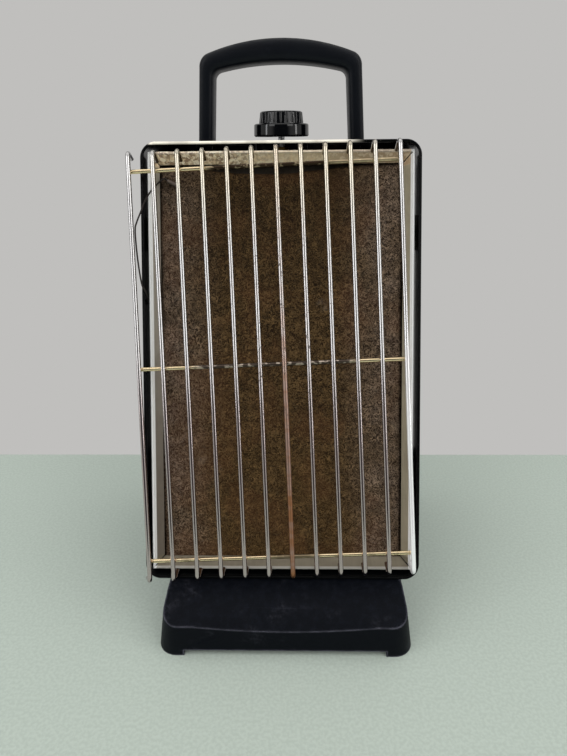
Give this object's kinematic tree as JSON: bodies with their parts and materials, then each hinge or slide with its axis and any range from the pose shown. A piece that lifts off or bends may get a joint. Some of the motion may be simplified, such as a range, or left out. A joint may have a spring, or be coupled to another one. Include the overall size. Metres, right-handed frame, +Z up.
{
  "type": "catalytic gas heater",
  "caption": "Portable catalytic gas heater: sloped fibre burner pad in a folded black case on a moulded foot, with a hooked wire guard, arched carry handle and fluted control knob.",
  "frame": {"origin": "centre of the heater's overall box, on the surface that its foot stands on", "axes": "+Z straight up, along the heater's longest extent"},
  "size_m": [0.2158, 0.222, 0.416],
  "materials": {
    "foot_plastic": "grained moulding",
    "case_enamel": "gloss black",
    "frame_enamel": "heat-tinted metallic paint",
    "catalyst_fibre": "fibrous mineral wool",
    "plain_steel": "plain",
    "zinc_steel": "zinc plated",
    "guard_chrome": "dull plate, sooted in the middle",
    "rod_brassed": "plate burnt golden",
    "handle_plastic": "satin moulding",
    "knob_plastic": "semi-gloss moulding",
    "valve_brass": "machined",
    "die_cast": "die cast",
    "seal_rubber": "soft",
    "lead_sheath": "woven sleeve, scorched"
  },
  "bodies": {
    "heater": {"base": "foot_plastic", "base_screws": "zinc_steel", "case_wrapper": "case_enamel", "pad_frame": "frame_enamel", "catalyst_pad": "catalyst_fibre", "pad_screen": "plain_steel", "burner_pan": "plain_steel", "gas_spreader": "plain_steel", "pan_brackets": "plain_steel", "bracket_screws": "zinc_steel", "case_side_screws": "zinc_steel", "heat_shield": "plain_steel", "shield_spacers": "plain_steel", "shield_screws": "zinc_steel", "guard_bars": "guard_chrome", "guard_rods": "rod_brassed", "handle": "handle_plastic", "handle_screws": "zinc_steel", "valve_bracket": "plain_steel", "valve_body": "valve_brass", "bonnet_nut": "valve_brass", "gas_riser": "valve_brass", "regulator_body": "die_cast", "regulator_cover": "die_cast", "regulator_screws": "zinc_steel", "inlet_socket": "valve_brass", "inlet_seal": "seal_rubber", "gas_jet": "valve_brass", "mixer_tube": "plain_steel", "thermocouple_lead": "lead_sheath", "thermocouple_tip": "plain_steel", "thermocouple_nut": "valve_brass"},
    "push_pin": {"safety_plunger": "zinc_steel"},
    "dial": {"valve_stem": "zinc_steel", "knob": "knob_plastic", "knob_set_screw": "zinc_steel"}
  },
  "joints": [
    {"name": "knob_push", "type": "slide", "parent": "heater", "child": "push_pin", "axis": [0, 0, -1], "range_m": [0, 0.0025], "stiffness_N_per_m": 1500, "springref_m": -0.002},
    {"name": "knob_turn", "type": "hinge", "parent": "push_pin", "child": "dial", "pos_m": [0.00459, 0.06965, 0.3493], "axis": [0, 0, 1], "range_deg": [0, 270]}
  ]
}
